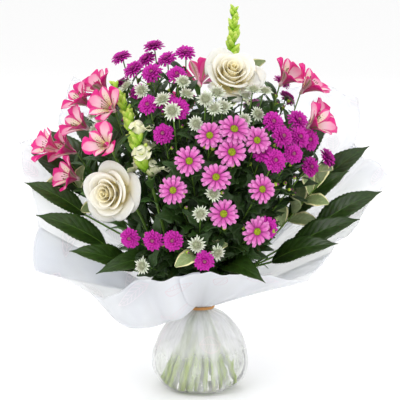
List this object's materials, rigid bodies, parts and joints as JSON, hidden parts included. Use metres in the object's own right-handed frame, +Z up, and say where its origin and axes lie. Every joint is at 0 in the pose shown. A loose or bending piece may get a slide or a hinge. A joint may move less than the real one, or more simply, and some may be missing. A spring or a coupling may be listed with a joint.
{
  "type": "mixed flower bouquet",
  "caption": "Hand-tied bouquet of roses, spray flowers and foliage in a collar of frosted film, standing on its own water bag",
  "frame": {"origin": "centre of the flat base of the water bag", "axes": "+Z up along the bunch, -Y towards the viewer of the front, +X to that viewer's right"},
  "size_m": [0.4492, 0.3945, 0.4616],
  "materials": {
    "rose_petal": "ivory petals, soft and matte",
    "aster": "magenta ray petals on green stems",
    "santini": "light pink ray petals, olive disc, green stems",
    "astrantia": "greenish white bracts, matte",
    "alstroemeria": "hot pink and white tepals with a yellow throat",
    "snapdragon": "lime buds and cream florets",
    "green_stem": "green stem and sepals",
    "large_leaf": "dark green, slightly waxy",
    "pittosporum": "grey-green with cream margins, slightly waxy",
    "frosted_film": "frosted translucent film",
    "bag_film": "film, frosted above and clear below",
    "water": "water",
    "raffia": "dull natural fibre"
  },
  "bodies": {
    "root": {"alstroemeria_spray_1": "alstroemeria", "alstroemeria_spray_2": "alstroemeria", "alstroemeria_spray_3": "alstroemeria", "alstroemeria_spray_back_3": "alstroemeria", "aster_spray_1": "aster", "aster_spray_2": "aster", "aster_spray_3": "aster", "aster_spray_4": "aster", "aster_spray_5": "aster", "aster_spray_back_1": "aster", "aster_spray_back_5": "aster", "astrantia_spray_1": "astrantia", "astrantia_spray_2": "astrantia", "astrantia_spray_3": "astrantia", "astrantia_spray_4": "astrantia", "astrantia_spray_5": "astrantia", "astrantia_spray_6": "astrantia", "astrantia_spray_back_4": "astrantia", "film_lobe_front_left": "frosted_film", "film_lobe_front_right": "frosted_film", "film_sheet_back_left": "frosted_film", "film_sheet_back_right": "frosted_film", "film_sheet_left": "frosted_film", "film_sheet_right": "frosted_film", "large_leaf_stem_1": "large_leaf", "large_leaf_stem_2": "large_leaf", "large_leaf_stem_3": "large_leaf", "large_leaf_stem_4": "large_leaf", "large_leaf_stem_5": "large_leaf", "large_leaf_stem_6": "large_leaf", "large_leaf_stem_7": "large_leaf", "pittosporum_stem_1": "pittosporum", "pittosporum_stem_2": "pittosporum", "pittosporum_stem_3": "pittosporum", "pittosporum_stem_4": "pittosporum", "pittosporum_stem_5": "pittosporum", "raffia_tie": "raffia", "rose_front_bloom": "rose_petal", "rose_front_stem": "green_stem", "rose_top_bloom": "rose_petal", "rose_top_stem": "green_stem", "santini_spray_1": "santini", "santini_spray_2": "santini", "santini_spray_3": "santini", "santini_spray_back_2": "santini", "snapdragon_left": "snapdragon", "snapdragon_top": "snapdragon", "water": "water", "water_bag_film": "bag_film"}
  },
  "joints": []
}
